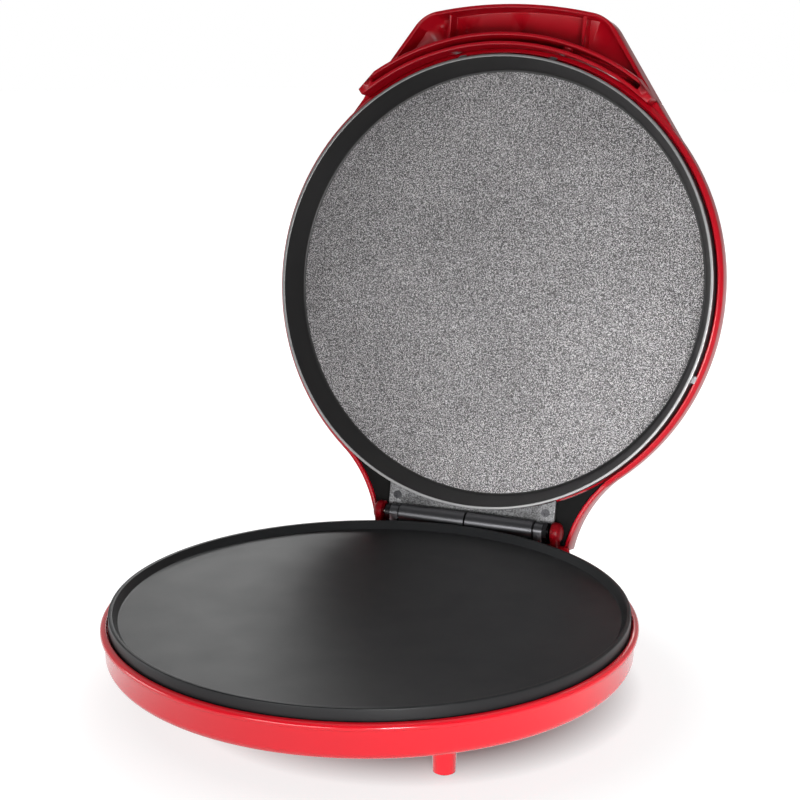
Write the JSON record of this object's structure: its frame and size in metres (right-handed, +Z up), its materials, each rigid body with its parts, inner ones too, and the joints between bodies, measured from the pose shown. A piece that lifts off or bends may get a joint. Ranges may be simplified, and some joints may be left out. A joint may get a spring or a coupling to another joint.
{
  "type": "electric pizza maker",
  "caption": "Round electric pizza maker with its hinged domed lid open, two dark cooking plates, a wide front handle with a steam guard, and a red moulded casing on short feet.",
  "frame": {"origin": "centre of the bounding box on the table, with the lid open as pictured", "axes": "+Z up, +X along the hinge line towards the right side, -Y towards the front of the base, where the closed handle sits"},
  "size_m": [0.33, 0.4413, 0.4047],
  "materials": {
    "red_plastic": "gloss",
    "lower_coating": "satin",
    "upper_coating": "satin",
    "hinge_steel": "satin",
    "screw_steel": "satin",
    "shield_aluminium": "satin",
    "heater_steel": "satin",
    "ceramic": "matte",
    "lead_sleeve": "matte",
    "black_rubber": "matte",
    "black_plastic": "matte",
    "bush_plastic": "matte",
    "red_lens": "gloss",
    "green_lens": "gloss"
  },
  "bodies": {
    "base": {"base_shell": "red_plastic", "foot_pads": "black_rubber", "lower_plate": "lower_coating", "lower_element": "heater_steel", "lower_element_clamps": "screw_steel", "lower_clamp_screws": "screw_steel", "lower_heat_shield": "shield_aluminium", "lower_shield_screws": "screw_steel", "lower_thermostat": "ceramic", "base_plate_screws": "screw_steel", "thermal_fuse": "ceramic", "terminal_block": "ceramic", "base_leads": "lead_sleeve", "cord_inlet": "black_rubber", "hinge_bracket": "hinge_steel", "bracket_screws": "screw_steel", "hinge_pin": "hinge_steel", "hinge_nut": "hinge_steel"},
    "lid": {"lid_shell": "red_plastic", "handle": "red_plastic", "handle_screws": "screw_steel", "upper_plate": "upper_coating", "plate_clips": "screw_steel", "upper_element": "heater_steel", "upper_element_clamps": "screw_steel", "upper_clamp_screws": "screw_steel", "upper_heat_shield": "shield_aluminium", "upper_shield_screws": "screw_steel", "upper_thermostat": "ceramic", "hinge_leaf": "hinge_steel", "leaf_screws": "screw_steel", "hinge_bushes": "bush_plastic", "hinge_washers": "screw_steel", "lid_leads": "lead_sleeve", "power_light": "red_lens", "ready_light": "green_lens", "lamp_holder": "ceramic", "neck_cover": "black_plastic"}
  },
  "joints": [
    {"name": "lid_hinge", "type": "hinge", "parent": "base", "child": "lid", "pos_m": [0, 0.11452, 0.0485], "axis": [1, 0, 0], "range_deg": [0, 101.4]}
  ]
}
